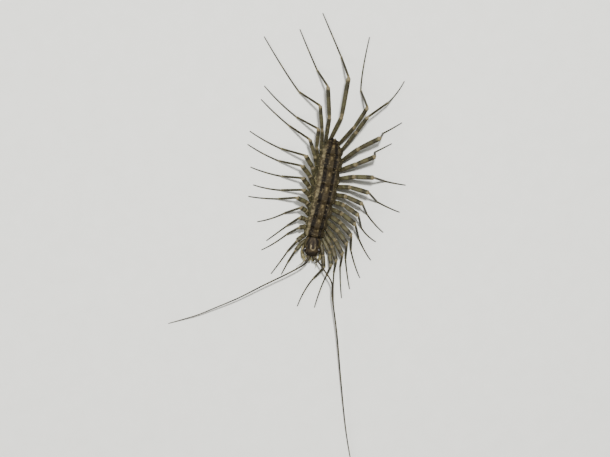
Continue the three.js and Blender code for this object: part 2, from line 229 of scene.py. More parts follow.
def loft(bm, stations, sides, roll=0.0, keels=0.0, seed=0.0):
    """Pulls a ring through stations of (point, half width, half height, mark)."""
    layer = bm.verts.layers.float_vector.get("marks") or bm.verts.layers.float_vector.new("marks")
    count = len(stations)
    points = [s[0] for s in stations]
    across = ring = edges = last = None
    for i, (point, half_width, half_height, mark) in enumerate(stations):
        back, on = points[max(i - 1, 0)], points[min(i + 1, count - 1)]
        ahead = ((on - point).normalized() + (point - back).normalized()).normalized()
        across, up = facing(ahead, across)
        turn = Matrix((across, up, ahead)).transposed().to_4x4()
        grow = Matrix.Diagonal((half_width, half_height, 1, 1))
        place = Matrix.Translation(point) @ turn @ Matrix.Rotation(roll, 4, "Z") @ grow
        if ring is None:
            ring = bmesh.ops.create_circle(bm, cap_ends=False, segments=sides, radius=1)["verts"]
            for corner in ring:
                angle = math.atan2(corner.co.y, corner.co.x)
                corner[layer] = (mark, angle / math.pi, seed)
                corner.co *= 1 + keels * max(math.cos(4 * angle), 0) ** 2
            bmesh.ops.transform(bm, matrix=place, verts=ring)
            edges = list({e for v in ring for e in v.link_edges})
            start = list(edges)
        else:
            made = bmesh.ops.extrude_edge_only(bm, edges=edges)["geom"]
            ring = [g for g in made if isinstance(g, bmesh.types.BMVert)]
            inside = set(ring)
            edges = [g for g in made if isinstance(g, bmesh.types.BMEdge) and set(g.verts) <= inside]
            bmesh.ops.transform(bm, matrix=place @ last.inverted(), verts=ring)
            for corner in ring:
                corner[layer] = (mark, corner[layer][1], corner[layer][2])
        last = place
    for rim in (start, edges):
        bmesh.ops.edgeloop_fill(bm, edges=rim)


def finish_piece(name, bm, material, slot, *nodes, subdivisions=0):
    """Turns a bmesh in millimetres into a finished piece that rides on the body."""
    bmesh.ops.recalc_face_normals(bm, faces=bm.faces)
    bmesh.ops.scale(bm, vec=(MM, MM, MM), verts=bm.verts)
    mesh = bpy.data.meshes.new(name)
    bm.to_mesh(mesh)
    bm.free()
    piece = bpy.data.objects.new(name, mesh)
    bpy.context.scene.collection.objects.link(piece)
    mesh.materials.append(material)
    for face in mesh.polygons:
        face.use_smooth = True
    if subdivisions:
        finer = piece.modifiers.new("finer", "SUBSURF")
        finer.levels = finer.render_levels = subdivisions
    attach(piece, "root")
    if nodes:
        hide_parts(*nodes)
    return piece


print("loft helper ready")

# %% [markdown]
# ## Finishes
# The shell is dull brown chitin, finely pitted, with two dark stripes along the back and
# dark edges with pale spots. The legs are olive and tan with dark bands and pale joints.
# The patterns are formulas on the marks that each mesh carries, so that they run on from
# plate to plate and bend with every leg.


# %% Shader helpers
def paint(code):
    """A colour written as six hexadecimal digits, as the shader needs it."""
    values = [int(code[i : i + 2], 16) / 255 for i in (0, 2, 4)]
    return (*[v / 12.92 if v < 0.04045 else ((v + 0.055) / 1.055) ** 2.4 for v in values], 1)


class Wire:
    """A socket's output. Arithmetic on it adds Math nodes."""

    def __init__(self, finish, socket):
        self.finish, self.socket = finish, socket

    def math(self, operation, *values):
        sockets = dict(enumerate([self, *values]))
        return self.finish.node("ShaderNodeMath", {"operation": operation}, sockets)

    def __add__(self, other):
        return self.math("ADD", other)

    def __sub__(self, other):
        return self.math("SUBTRACT", other)

    def __rsub__(self, other):
        return self.finish.node("ShaderNodeMath", {"operation": "SUBTRACT"}, {0: other, 1: self})

    def __mul__(self, other):
        return self.math("MULTIPLY", other)

    def __pow__(self, other):
        return self.math("POWER", other)

    def __abs__(self):
        return self.math("ABSOLUTE")

    __radd__ = __add__

    def step(self, low, high):
        """A soft step from 0 at low to 1 at high, or back where high is lower."""
        sockets = {"Value": self, "From Min": low, "From Max": high}
        return self.finish.node("ShaderNodeMapRange", {"interpolation_type": "SMOOTHSTEP"}, sockets)

    def bump(self, centre, width):
        """A soft hill of height 1 at centre that falls to 0 at this distance."""
        return 1 - abs(self - centre).step(width * 0.4, width)


class Finish:
    """One procedural material, built by expressions."""

    def __init__(self, name):
        self.material = bpy.data.materials.new(name)
        self.material.use_nodes = True
        self.tree = self.material.node_tree
        self.shader = self.tree.nodes["Principled BSDF"]

    def node(self, kind, settings=None, sockets=None, out=0):
        node = self.tree.nodes.new(kind)
        for key, value in (settings or {}).items():
            setattr(node, key, value)
        for key, value in (sockets or {}).items():
            self.plug(node.inputs[key], value)
        return Wire(self, node.outputs[out])

    def plug(self, socket, value):
        if isinstance(value, Wire):
            self.tree.links.new(value.socket, socket)
        else:
            socket.default_value = value

    def mark(self, name, axis):
        """One axis of a corner attribute of the mesh."""
        vector = self.node("ShaderNodeAttribute", {"attribute_name": name}, out="Vector")
        return self.node("ShaderNodeSeparateXYZ", {}, {0: vector}, axis)

    def place(self):
        return self.node("ShaderNodeTexCoord", {}, {}, "Object")

    def noise(self, scale, detail=3.0, roughness=0.6):
        """Noise between 0 and 1, with its scale in waves a millimetre."""
        sockets = {"Vector": self.place(), "Scale": scale / MM}
        sockets.update({"Detail": detail, "Roughness": roughness})
        return self.node("ShaderNodeTexNoise", {}, sockets)

    def cells(self, scale):
        """Distance from the middle of a cell, with cells this many to a millimetre."""
        return self.node("ShaderNodeTexVoronoi", {}, {"Vector": self.place(), "Scale": scale / MM})

    def mix(self, first, second, share):
        settings = {"data_type": "RGBA", "clamp_factor": True}
        return self.node("ShaderNodeMix", settings, {0: share, 6: first, 7: second}, 2)

    def dress(self, colour, roughness, height, depth, **constants):
        """Plugs the finish into the shader, with a bump this many millimetres deep."""
        self.plug(self.shader.inputs["Base Color"], colour)
        self.plug(self.shader.inputs["Roughness"], roughness)
        sockets = {"Height": height, "Distance": depth * MM, "Strength": 1.0}
        bump = self.node("ShaderNodeBump", {}, sockets)
        self.plug(self.shader.inputs["Normal"], bump)
        for name, value in constants.items():
            self.plug(self.shader.inputs[name.replace("_", " ")], value)
        return self.material


print("shader helpers ready")


# %% Finish of the back plates and the head
STRIPE_BESIDE = 1.02
STRIPE_HALF_WIDTH = 0.6
SHELL_BLACK = paint("0d0905")
BRISTLE_BROWN = paint("1f170e")


def shell_finish():
    """Brown shell with two dark stripes, from marks beside and along the body, with painted light on
    its right flank and painted shade on its left.
    """
    f = Finish("striped_shell")
    beside = f.mark("body", 0)
    along = f.mark("body", 1)
    side = f.mark("marks", 0)
    reach = f.mark("marks", 1)
    bristle = f.mark("marks", 2)
    blotch = f.noise(0.9, 4, 0.65)
    grain = f.noise(4.0, 4, 0.7)
    pores = f.cells(6.5)
    off = abs(beside) + (blotch - 0.5) * 0.5 + (grain - 0.5) * 0.12
    tone = f.mix(paint("1a150d"), paint("433a28"), (grain * 0.7 + blotch * 0.5).step(0.42, 0.8))
    # Pale lateral patches, the shell's own, with painted light: they are painted much stronger on
    # the animal's right flank, the lit side.
    pale_patches_lit_flank = f.noise(1.5, 3, 0.55).step(0.36, 0.66) * (0.62 - beside * 0.2)
    band = f.mix(tone, paint("6a6148"), off.bump(1.75, 0.5) * pale_patches_lit_flank)
    margin = f.mix(band, paint("272618"), abs(side).step(0.7, 0.84) * 0.8)
    mottle = (blotch * 0.7 + grain * 0.6).step(0.66, 0.8)
    pale = f.mix(margin, paint("756c4e"), abs(side).step(0.72, 0.86) * mottle * 0.8)
    # Painted shade: the animal's left flank is darkened, as the side turned away from the light.
    pale = f.mix(pale, paint("211b11"), beside.step(1.25, 1.75) * 0.6)
    middle = f.mix(pale, paint("2e2616"), (1 - off.step(0.3, 0.62)) * 0.6)
    stripe_at = STRIPE_BESIDE - along.step(20.5, 25.5) * 0.36
    broken = (along * 2.3 + grain * 4).math("SINE").step(0.75, 1.0) * 0.25
    stripe = (off - stripe_at).bump(0, STRIPE_HALF_WIDTH) * (1 - broken)
    striped = f.mix(middle, SHELL_BLACK, stripe * 0.96)
    spot = (abs(beside) + (grain - 0.5) * 0.7).bump(0, 0.34) * reach.bump(0.8, 0.24)
    spotted = f.mix(striped, paint("6c5f43"), spot * blotch.step(0.3, 0.6) * 0.65)
    flecked = f.mix(spotted, paint("6e6347"), f.noise(2.6, 2, 0.5).step(0.6, 0.7) * 0.45)
    rim = f.mix(flecked, paint("1a130b"), reach.step(0.95, 0.985) * 0.35)
    haired = f.mix(rim, BRISTLE_BROWN, bristle)
    height = grain * 0.5 + f.noise(15, 2) * 0.25 + (1 - pores) * 0.35
    return f.dress(haired, grain * 0.3 + 0.42, height, 0.07, Specular_IOR_Level=0.08)


def head_finish():
    """The head's dark horseshoe pattern, round a pale fork that is a painted highlight."""
    f = Finish("head_shell")
    beside = f.mark("body", 0)
    along = f.mark("body", 1)
    bristle = f.mark("marks", 2)
    blotch = f.noise(1.4, 4, 0.6)
    grain = f.noise(5, 4, 0.7)
    off = abs(beside) + (blotch - 0.5) * 0.3
    back = along + (grain - 0.5) * 0.4
    tone = f.mix(paint("1c160e"), paint("403625"), (blotch * 0.7 + grain * 0.5).step(0.42, 0.8))
    arc_at = 1.28 - (back - 2.5) * 0.4
    arc = (off - arc_at).bump(0, 0.32) * back.step(2.0, 2.4)
    spots = off.bump(0.78, 0.26) * back.bump(2.2, 0.9)
    front = 1 - back.step(0.6, 1.2)
    dark = arc.math("MAXIMUM", spots).math("MAXIMUM", front * 0.85)
    shaded = f.mix(tone, SHELL_BLACK, dark * 0.95)
    lean = abs(beside - 0.22) + (blotch - 0.5) * 0.2
    bend = (1.8 - back).math("MAXIMUM", 0)
    round_fork = (lean * lean + bend * bend) ** 0.5
    hollow = (1 - round_fork.step(0.12, 0.34)) * (1 - back.step(3.0, 3.6)) * 0.8
    inside = f.mix(shaded, paint("140e08"), hollow)
    # Painted highlight: the pale fork is patchy and brighter on the animal's right side, where the
    # light falls.
    patchy_painted_highlight = (0.75 - beside * 0.4) * f.noise(2.2, 3, 0.7).step(0.34, 0.52)
    fork = (round_fork + (grain - 0.5) * 0.3).bump(0.46, 0.19) * (1 - back.step(2.2, 3.0)) * patchy_painted_highlight
    pale = f.mix(inside, paint("807459"), fork)
    edge = f.mix(pale, paint("3d3722"), off.step(1.25, 1.5) * 0.7)
    haired = f.mix(edge, BRISTLE_BROWN, bristle)
    height = grain * 0.6 + f.noise(13, 2) * 0.25 + (1 - f.cells(7)) * 0.3
    return f.dress(haired, 0.42 + grain * 0.3, height, 0.06, Specular_IOR_Level=0.1)


shell = shell_finish()
head_shell = head_finish()
print("finishes:", shell.name, head_shell.name)


# %% Finish of the soft trunk
def trunk_finish():
    """Olive-tan body wall, folded and dull, with dark specks."""
    f = Finish("soft_body_wall")
    along = f.mark("marks", 0)
    blotch = f.noise(0.9, 4, 0.6)
    grain = f.noise(5, 3, 0.6)
    folds = (along * 4.2 + blotch * 2).math("SINE") * 0.5 + 0.5
    tone = f.mix(paint("3f3a27"), paint("7c7150"), (blotch * 0.7 + folds * 0.3).step(0.3, 0.75))
    mottled = f.mix(tone, paint("2a2418"), grain.step(0.55, 0.75) * 0.6)
    return f.dress(mottled, 0.45 + grain * 0.2, folds * 0.6 + grain * 0.5, 0.08)


body_wall = trunk_finish()
print("finish:", body_wall.name)


# %% Finish of the legs
# Where each band lies, in segments from the hip, then its half width and strength.
DARK_BANDS = [
    (0.3, 0.16, 0.5), (0.86, 0.12, 0.7), (1.16, 0.09, 0.5), (1.78, 0.16, 0.9),
    (2.5, 0.55, 0.9), (3.5, 0.6, 0.9), (4.5, 0.8, 1.0),
]
PALE_JOINTS = [(1.02, 0.08, 0.5), (1.98, 0.09, 0.6), (3.0, 0.08, 0.3), (3.95, 0.1, 0.2)]


def strongest(bands, place):
    """The strongest of several soft bands at this place."""
    top = None
    for centre, width, strength in bands:
        band = place.bump(centre, width) * strength
        top = band if top is None else top.math("MAXIMUM", band)
    return top


def leg_finish():
    """Olive chitin with dark bands, placed by segments from the hip to the tip."""
    f = Finish("banded_legs")
    along = f.mark("marks", 0)
    seed = f.mark("marks", 2)
    blotch = f.noise(1.3, 3, 0.6)
    grain = f.noise(6, 3, 0.6)
    place = along + (blotch - 0.5) * 0.34
    tone = f.mix(paint("332f20"), paint("5e563b"), (blotch * 0.6 + grain * 0.5).step(0.4, 0.75))
    green = f.mix(tone, paint("45482f"), blotch.step(0.45, 0.6) * 0.5)
    bands = strongest(DARK_BANDS, place) * (0.65 + grain * 0.5)
    dark = bands.math("MAXIMUM", seed * (1.6 - along * 0.5))
    banded = f.mix(green, paint("1f1c11"), dark)
    jointed = f.mix(banded, paint("786c50"), strongest(PALE_JOINTS, along + (blotch - 0.5) * 0.1))
    streaked = f.mix(jointed, paint("29251a"), f.noise(2.6, 3, 0.6).step(0.56, 0.7) * 0.6)
    specks = f.noise(3.2, 2, 0.5).step(0.6, 0.68) * (1 - along.step(0.4, 1.1)) * 0.6
    specked = f.mix(streaked, paint("857c5d"), specks)
    height = grain * 0.7 + f.noise(18, 2) * 0.3
    return f.dress(specked, 0.34 + grain * 0.3, height, 0.03, Specular_IOR_Level=0.18)


def feeler_finish():
    """Dark brown feelers with a slow pale and dark beat."""
    f = Finish("ringed_feelers")
    along = f.mark("marks", 0)
    blotch = f.noise(0.6, 3, 0.5)
    grain = f.noise(8, 3, 0.6)
    beat = (along * 1.1 + blotch * 4).math("SINE") * 0.5 + 0.5
    tone = f.mix(paint("1c1810"), paint("3c3523"), beat * 0.7 + grain * 0.2)
    return f.dress(tone, 0.45 + grain * 0.2, grain, 0.02, Specular_IOR_Level=0.2)


banded_legs = leg_finish()
ringed_feelers = feeler_finish()
print("finishes:", banded_legs.name, ringed_feelers.name)


# %% Finish of the mouthparts and the eyes
def mouth_finish():
    """Tan-green mouthparts that darken only near the claws' points."""
    f = Finish("tan_mouthparts")
    along = f.mark("marks", 0)
    blotch = f.noise(1.8, 3, 0.6)
    grain = f.noise(8, 3, 0.6)
    tone = f.mix(paint("4f4a2e"), paint("8a7e57"), blotch.step(0.35, 0.7))
    tipped = f.mix(tone, paint("241a10"), along.step(0.82, 0.95) * 0.9)
    return f.dress(tipped, 0.32 + grain * 0.2, grain, 0.03, Specular_IOR_Level=0.3)


def eye_finish():
    """Glossy black compound eyes with a fine net of facets."""
    f = Finish("faceted_eyes")
    facets = f.cells(16)
    tone = f.mix(paint("0a0806"), paint("1c150e"), facets.step(0.25, 0.6))
    return f.dress(tone, 0.16 + facets * 0.12, 1 - facets, 0.01, Specular_IOR_Level=0.4)


tan_mouthparts = mouth_finish()
faceted_eyes = eye_finish()
print("finishes:", tan_mouthparts.name, faceted_eyes.name)

# %% [markdown]
# ## Back plates
# Eight shields cover the back like roof tiles. Each starts as a flat grid, which is bent
# over the trunk, raised along its middle where the breathing slit lies, lipped at its
# edges, and given its thickness. A bent grid keeps even faces, which a carved block
# would not. Short bristles then stand along the edges and over the back.


# %% Bristles and spurs
# Shares of a spike's length and thickness: how far out its middle lies, and its tip.
SPIKE_MIDDLE = 0.42
SPIKE_TIP = 0.15


def spike(bm, place, direction, length, thick, marks):
    """A thin four-sided spike with the marks of its root."""
    turn = direction.to_track_quat("Z", "Y").to_matrix().to_4x4()
    matrix = Matrix.Translation(place + direction * length * SPIKE_MIDDLE) @ turn
    tip = thick * SPIKE_TIP
    made = bmesh.ops.create_cone(
        bm, cap_ends=True, segments=4, radius1=thick, radius2=tip, depth=length, matrix=matrix
    )
    layers = bm.verts.layers.float_vector
    for name, values in marks.items():
        for corner in made["verts"]:
            corner[layers[name]] = values


print("spike helper ready")


# %% Places on a plate
PLATE_FULL_WIDTH = 2.76
PLATE_FRONT_WIDTH = 2.2
PLATE_REAR_SHARE = 0.35
# Where along the body the plates widen, and where they narrow again.
PLATES_WIDEN = (3.5, 14)
PLATES_NARROW = (22, 26.8)
PLATE_LAP = 0.12
PLATE_TUCK = 0.05
PLATE_SHELL = 0.14
PLATE_RELIEF = 0.05
PLATE_RELIEF_WAVES = 1.7
PLATE_SCALLOP = 0.03
PLATE_FRONT_DIP = 0.22
SLIT_NOTCH = 0.3
REAR_CORNER_PULL = 0.3
FRONT_CORNER_CUT = 0.12
RIDGE_RISE = 0.15
FLANK_SWELL = 0.06
RIM_RISE = 0.07
# The view is a little from the animal's right, so the ridge lies this far to the left.
RIDGE_BESIDE = 0.35


def plate_half_width(along):
    front = lerp(PLATE_FRONT_WIDTH, PLATE_FULL_WIDTH, smoothstep(along, *PLATES_WIDEN))
    rear = lerp(1, PLATE_REAR_SHARE, smoothstep(along, *PLATES_NARROW))
    return front * rear


def hill(x, centre, width):
    """A smooth hill of height 1 at centre that fades within a few widths."""
    return math.exp(-(((x - centre) / width) ** 2))


def plate_place(start, end, side, reach, bluntness):
    """A place on a plate, from -1 to 1 across it and from 0 to 1 along it."""
    edge = abs(side)
    ridge = RIDGE_BESIDE * (1 - side * side)
    off = side - ridge / PLATE_FULL_WIDTH
    back = smoothstep(reach, 0.6, 1)
    along = lerp(start - PLATE_TUCK, end + PLATE_LAP, reach)
    notch = SLIT_NOTCH * hill(off, 0, 0.2) * smoothstep(reach, 0.75, 1)
    along -= notch + REAR_CORNER_PULL * edge**4 * back
    corners = 1 - FRONT_CORNER_CUT * (1 - smoothstep(reach, 0, 0.3)) * edge**4
    corners *= 1 - bluntness * max(reach - 0.5, 0) ** 2 * 4 * edge**3
    scallop = 1 - PLATE_SCALLOP * math.cos(2 * math.pi * reach)
    beside = side * plate_half_width(along) * corners * scallop
    height = PLATE_CREST_HEIGHT + PLATE_LIP_RISE * reach**3 - PLATE_EDGE_DROP * edge**2.2
    height += RIDGE_RISE * hill(off, 0, 0.11) * smoothstep(reach, 0.3, 0.9)
    height += FLANK_SWELL * hill(abs(off), 0.62, 0.15) - FLANK_SWELL * hill(abs(off), 0.38, 0.1)
    rim = RIM_RISE * smoothstep(edge, 0.88, 0.97)
    height += rim - PLATE_FRONT_DIP * (1 - smoothstep(reach, 0, 0.22))
    waves = Vector((beside * PLATE_RELIEF_WAVES, along * PLATE_RELIEF_WAVES, 0))
    height += PLATE_RELIEF * noise.noise(waves)
    marks = {"marks": (side, reach, 0), "body": (beside - ridge, along, height)}
    return body_point(along, beside, height), marks


print("plate half width in its middle:", plate_half_width(15))


# %% Back plates
SIDE_BRISTLES = 15
REAR_BRISTLES = 21
BACK_BRISTLES = 70
BRISTLE_THICKNESS = 0.018
PLATE_BLUNTNESS = 0.12
LAST_PLATE_BLUNTNESS = 0.75
PLATE_GRID = (56, 36)


def plate_bristles(bm, start, end, bluntness, rng):
    """Bristles along both sides and the rear edge, and tiny ones over the plate."""
    rows = [(s * 0.99, 0.12 + 0.06 * i, 0.2) for s in (-1, 1) for i in range(SIDE_BRISTLES)]
    rows += [(-0.9 + 0.09 * i, 0.985, 0.15) for i in range(REAR_BRISTLES)]
    for _ in range(BACK_BRISTLES):
        rows.append((rng.uniform(-0.85, 0.85), rng.uniform(0.15, 0.9), 0.1))
    for side, reach, length in rows:
        place, marks = plate_place(start, end, side, reach, bluntness)
        behind, _ = plate_place(start, end, side, reach + 0.05, bluntness)
        outward, _ = plate_place(start, end, side * 1.04 + 0.001, reach, bluntness)
        ahead = (behind - place).normalized()
        out = (outward - place).normalized() * min(abs(side) ** 6 * 1.5, 1.2)
        direction = (ahead + out + Vector((0, 0, 0.45))).normalized()
        marks = {**marks, "marks": (side, reach, 1)}
        spike(bm, place, direction, length * rng.uniform(0.7, 1.2), BRISTLE_THICKNESS, marks)


def back_plate(number, start, end, bluntness):
    rng = random.Random(number)
    bm = bmesh.new()
    bmesh.ops.create_grid(bm, x_segments=PLATE_GRID[0], y_segments=PLATE_GRID[1], size=1)
    layers = {name: bm.verts.layers.float_vector.new(name) for name in ("marks", "body")}
    for corner in bm.verts:
        side, reach = corner.co.x, (corner.co.y + 1) / 2
        corner.co, marks = plate_place(start, end, side, reach, bluntness)
        for name, layer in layers.items():
            corner[layer] = marks[name]
    bmesh.ops.recalc_face_normals(bm, faces=bm.faces)
    if sum(f.normal.z for f in bm.faces) < 0:
        bmesh.ops.reverse_faces(bm, faces=bm.faces)
    bmesh.ops.solidify(bm, geom=bm.faces, thickness=PLATE_SHELL)
    plate_bristles(bm, start, end, bluntness, rng)
    return finish_piece(f"back_plate_{number}", bm, shell, "plate", f"tergite_{number}")


PLATES = len(PLATE_CUTS) - 1
for number, (start, end) in enumerate(zip(PLATE_CUTS, PLATE_CUTS[1:]), 1):
    back_plate(number, start, end, LAST_PLATE_BLUNTNESS if number == PLATES else PLATE_BLUNTNESS)
print("back plates:", PLATES)

# %% [markdown]
# ## Trunk
# Below the plates lies the soft trunk, one skin from the neck to the tail. Its rings
# swell where a pair of legs is rooted and narrow in between.


# %% Trunk
NECK_WIDTH_SHARE = 0.75
TAIL_WIDTH_SHARE = 0.3
TRUNK_FULL_FROM = 7
TRUNK_FULL_TO = 20.5
TRUNK_TUCK = 0.15
TRUNK_ROWS = 120
TRUNK_SIDES = 24
TAIL_TOP = 3.5
TAIL_BOTTOM = 2.6
SWELL_REACH = 0.4


def trunk_half_width(along):
    front = lerp(NECK_WIDTH_SHARE, 1, smoothstep(along, NECK_START, TRUNK_FULL_FROM))
    rear = lerp(1, TAIL_WIDTH_SHARE, smoothstep(along, TRUNK_FULL_TO, TRUNK_END))
    return TRUNK_HALF_WIDTH * front * rear


def trunk_top(along):
    full = TRUNK_MIDDLE_HEIGHT + TRUNK_HALF_HEIGHT
    neck = HEAD_MIDDLE_HEIGHT - HEAD_HALF_HEIGHT
    under_plates = smoothstep(along, HEAD_LENGTH - 0.2, HEAD_LENGTH + 0.7)
    return lerp(neck, full + TRUNK_TUCK, under_plates)


def root_along(pair):
    k = pair - 1
    return FIRST_ROOT + ROOT_PITCH * k + ROOT_PITCH_GROWTH * k * k


def root_swell(along):
    """How near a place is to a pair of roots, from 0 between them to 1 at them."""
    return max(hill(along, root_along(pair), SWELL_REACH) for pair in range(1, PAIRS + 1))


def trunk_stations():
    stations = []
    bottom = TRUNK_MIDDLE_HEIGHT - TRUNK_HALF_HEIGHT
    for i in range(TRUNK_ROWS + 1):
        along = lerp(NECK_START, TAIL_END, i / TRUNK_ROWS)
        swell = lerp(0.95, 1.03, root_swell(along))
        ends = math.sqrt(smoothstep(along, NECK_START - 0.2, NECK_START + 0.6))
        ends *= math.sqrt(1 - 0.96 * smoothstep(along, TAIL_END - 1.2, TAIL_END + 0.05))
        top = lerp(trunk_top(along), TAIL_TOP, smoothstep(along, TRUNK_END - 1, TAIL_END))
        low = lerp(bottom, TAIL_BOTTOM, smoothstep(along, TRUNK_END - 3, TAIL_END))
        place = body_point(along, 0, (top + low) / 2)
        half_width = trunk_half_width(along) * swell * ends
        half_height = (top - low) / 2 * swell * ends
        stations.append((place, half_width, half_height, along))
    return stations


bm = bmesh.new()
loft(bm, trunk_stations(), TRUNK_SIDES)
trunk_nodes = ["trunk_front", "trunk_middle", "trunk_rear", "tail_end"]
finish_piece("trunk_skin", bm, body_wall, "trunk", *trunk_nodes)
print("trunk skin made")

# %% [markdown]
# ## Head
# The head is a low rounded shield with a blunt brow. It is pulled from rings as the
# trunk is, then pressed in across the brow and along its middle.


# %% Head
# Each ring's place along the head, and its shares of the full half width and height.
HEAD_PROFILE = [
    (-0.02, 0.18, 0.2), (0.06, 0.4, 0.42), (0.22, 0.6, 0.62), (0.5, 0.74, 0.78), (0.85, 0.82, 0.9),
    (1.25, 0.86, 0.97), (1.7, 0.89, 1.0), (2.2, 0.95, 1.0), (2.7, 1.0, 0.98), (3.2, 1.0, 0.96),
    (3.65, 0.95, 0.92), (4.0, 0.86, 0.86), (4.25, 0.72, 0.76),
]
# The finished shield swells this far past the plain solid, up to its eyes.
HEAD_SWELL = 0.18
HEAD_FULL_WIDTH = HEAD_HALF_WIDTH + HEAD_SWELL
HEAD_SIDES = 28
HEAD_END_DROP = 0.12
FURROW_DEPTH = 0.07
BROW_DEPTH = 0.1
BROW_ALONG = 0.95


def head_stations():
    stations = []
    for along, width, height in HEAD_PROFILE:
        place = body_point(along, 0, HEAD_MIDDLE_HEIGHT - HEAD_END_DROP * (1 - height))
        stations.append((place, HEAD_FULL_WIDTH * width, HEAD_HALF_HEIGHT * height, along))
    return stations


def press_head(bm):
    """Marks the head's places and presses a brow line and a middle furrow."""
    body = bm.verts.layers.float_vector.new("body")
    marks = bm.verts.layers.float_vector["marks"]
    for corner in bm.verts:
        along = corner[marks][0]
        middle = body_point(along, 0, 0)
        flank = (body_point(along, 1, 0) - middle).normalized()
        beside = (corner.co - middle).dot(flank)
        corner[body] = (beside, along, corner.co.z)
        if corner.co.z > HEAD_MIDDLE_HEIGHT:
            furrow = FURROW_DEPTH * hill(beside, 0, 0.2) * smoothstep(along, 1.4, 3.2)
            brow = BROW_DEPTH * hill(along, BROW_ALONG, 0.2)
            corner.co.z -= furrow + brow


bm = bmesh.new()
loft(bm, head_stations(), HEAD_SIDES)
press_head(bm)
finish_piece("head_capsule", bm, head_shell, "head", "head", subdivisions=1)
print("head made")


# %% Eyes
EYE_RADII = (0.42, 0.66, 0.48)
EYE_TURN = 12
EYE_ALONG = 1.45
EYE_LIFT = 0.12
EYE_BESIDE = HEAD_FULL_WIDTH * 0.86 - 0.02


def compound_eye(side, name):
    bm = bmesh.new()
    bmesh.ops.create_icosphere(bm, subdivisions=4, radius=1)
    bmesh.ops.scale(bm, vec=EYE_RADII, verts=bm.verts)
    turn = Matrix.Rotation(side * math.radians(EYE_TURN), 3, "Z")
    bmesh.ops.rotate(bm, matrix=turn, verts=bm.verts)
    place = body_point(EYE_ALONG, side * EYE_BESIDE, HEAD_MIDDLE_HEIGHT + EYE_LIFT)
    bmesh.ops.translate(bm, vec=place, verts=bm.verts)
    return finish_piece(f"compound_eye_{name}", bm, faceted_eyes, "eye", f"eye_{name}")


for side, name in SIDES:
    compound_eye(side, name)
print("eyes made")

# %% [markdown]
# ## Limbs
# A leg is a chain of firm segments, each thick in its middle and waisted at its joints,
# and a whip of a foot with dozens of tiny rings. Each segment is its own closed form
# that sinks a little into the next, as the real ones do. Short spurs stand at the end
# of each segment, and rows of tiny thorns along it.


# %% Segments
# Above 1, a whip keeps its girth for longer before it thins.
TAPER = 1.6
# Where each article of a whip has a ring, and how wide it is there.
ARTICLE_RINGS = ((0.0, 0.95), (0.7, 1.05))
WHIP_SIDES = 8


def segment_stations(start, end, outline, half, flat, first, bow=0.0):
    """Rings of one firm segment, bowed up a little between its joints."""
    stations = []
    for share, girth in outline:
        place = start.lerp(end, share)
        place.z += bow * math.sin(math.pi * min(max(share, 0), 1))
        stations.append((place, girth * half * flat, girth * half, first + share))
    return stations


def ringed_limb(bm, line, halves, article, marks, seed, floor=False, base=(0, 0)):
    """A whip of small articles, each a little wider at its far end.

    On the floor it lies no lower than its own half girth. Its base may be thicker by
    the first number of base, which fades out over the second.
    """
    count = max(int(line.length / article), 4)
    extra, reach = base
    stations = []
    for i in range(count + 1):
        for share, swell in ARTICLE_RINGS:
            along = min((i + share) / (count + 1), 1)
            place, _ = line.at(along * line.length)
            half = lerp(*halves, along**TAPER)
            if reach:
                half += extra * (1 - smoothstep(along * line.length, reach * 0.3, reach))
            half *= swell
            if floor:
                place.z = max(place.z, half)
            stations.append((place, half, half, lerp(*marks, along)))
    loft(bm, stations, WHIP_SIDES, seed=seed)


def swollen_limb(bm, line, halves, flatness, last_mark, sides):
    """A short limb pulled through even rings of these half widths."""
    stations = []
    for i, half in enumerate(halves):
        share = i / (len(halves) - 1)
        place, _ = line.at(share * line.length)
        stations.append((place, half, half * flatness, share * last_mark))
    loft(bm, stations, sides)


print("segment helpers ready")


# %% Outlines of the leg segments
# Each ring's place along its segment, and its share of the segment's half girth.
COXA = [(0, 1), (0.3, 1.06), (0.6, 1.0), (0.85, 0.86), (1.0, 0.72), (1.12, 0.4)]
PREFEMUR = [
    (-0.04, 0.45), (0.0, 0.6), (0.06, 0.7), (0.15, 0.8), (0.35, 0.93), (0.6, 1.0),
    (0.85, 1.0), (0.94, 0.93), (0.97, 0.97), (0.995, 0.8), (1.02, 0.4),
]
FEMUR = [
    (-0.03, 0.4), (0.0, 0.72), (0.05, 0.86), (0.2, 0.94), (0.5, 1.0), (0.8, 0.98),
    (0.88, 0.95), (0.93, 1.0), (0.965, 0.94), (0.99, 0.78), (1.012, 0.52), (1.026, 0.2),
]
TIBIA = [
    (-0.04, 0.5), (0.0, 0.9), (0.05, 1.12), (0.12, 1.0), (0.4, 1.02), (0.7, 0.94),
    (0.93, 0.92), (0.965, 1.02), (0.99, 0.8), (1.02, 0.4),
]
COXA_HALF = 0.58
COXA_FLATNESS = 0.85
# The outline, half girth and flatness of each segment from the hip outwards.
SEGMENTS = [(PREFEMUR, 0.56, 0.97), (FEMUR, 0.56, 0.97), (TIBIA, 0.27, 0.95)]
TARSUS_HALF = 0.2
TARSUS_TIP_HALF = 0.12
FOOT_ARTICLE = 0.24
COXA_SIDES = 12
SEGMENT_SIDES = 16
SEGMENT_BOW = 0.12
KEEL_RISE = 0.1
KEEL_ROLL = 60
# Spurs that would stand higher than this are left out.
SPUR_CEILING = 6.95
SPUR_SHARE = 0.955
SPUR_LENGTHS = (0.32, 0.5)
SPUR_THICKNESS = 0.036
THORN_LENGTHS = (0.12, 0.2)
THORN_THICKNESS = 0.02
THORN_SPACING = 0.42
TIBIA_SPUR_SCALE = 0.75
# How much darker the last three pairs are.
DARK_REAR_LEGS = 0.3
# Legs that stand close together have this share of the full girth, to stay apart.
CROWDED_LEFT_LEGS = {1: 0.83, 2: 0.83, 3: 0.9, 14: 0.85, 15: 0.85}
CROWDED_RIGHT_LEGS = {1: 0.85, 11: 0.8, 12: 0.78, 13: 0.8, 14: 0.88, 15: 0.95}
HIP_LIFT = 0.1
FIRST_HIP_LIFT = -0.4
HIP_BESIDE = 0.6


